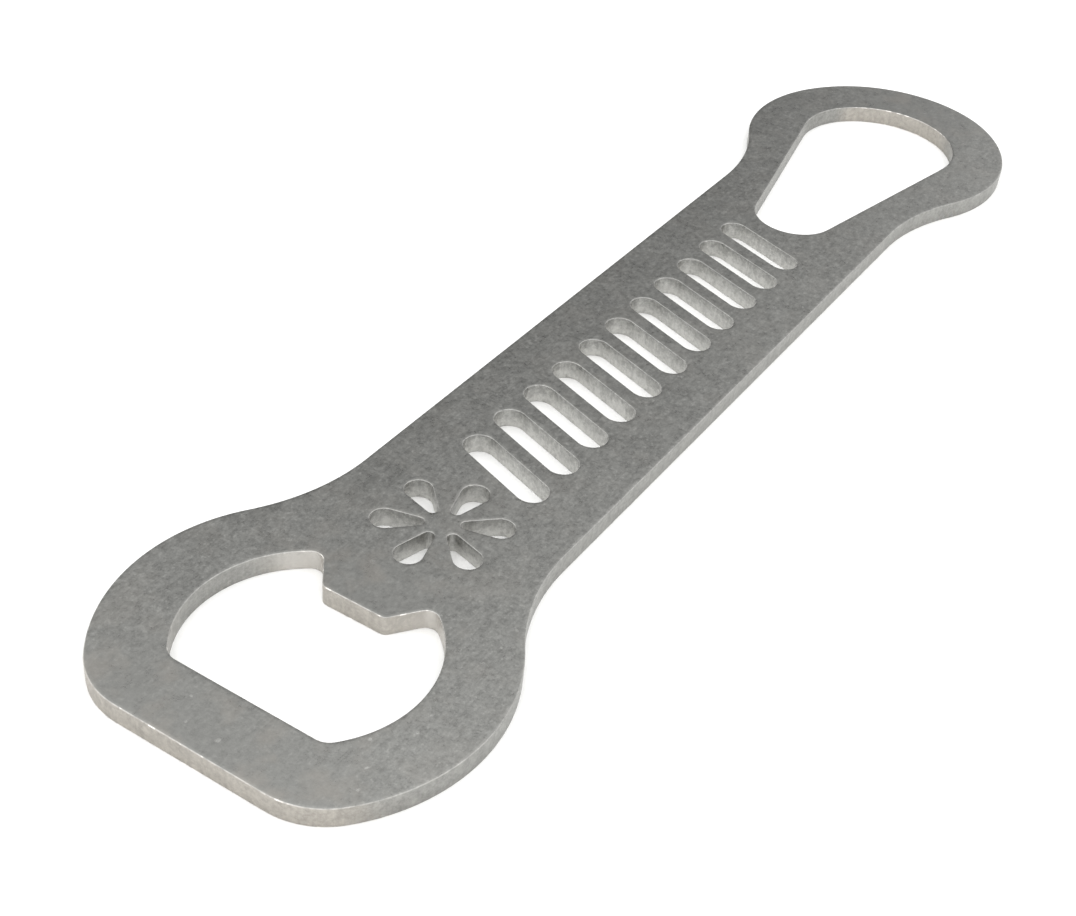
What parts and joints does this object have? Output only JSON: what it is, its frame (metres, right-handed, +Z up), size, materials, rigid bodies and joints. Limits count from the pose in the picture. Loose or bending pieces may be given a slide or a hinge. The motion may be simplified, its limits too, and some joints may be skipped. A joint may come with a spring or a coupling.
{
  "type": "bottle opener",
  "caption": "Flat one-piece steel bottle opener: cap opening with a prying lip at the head, pierced handle, and a drop-shaped finger ring at the other end.",
  "frame": {"origin": "centre of the plate's length and width, on its underside", "axes": "+X along the plate from the opener head to the finger ring, +Y across the handle, +Z up through the plate's thickness"},
  "size_m": [0.1816, 0.0434, 0.0025],
  "materials": {
    "tumbled_steel": "tumbled matte stainless steel, neutral grey, edges softly rounded, cut walls slightly lighter and warmer"
  },
  "bodies": {
    "root": {"opener_plate": "tumbled_steel"}
  },
  "joints": []
}
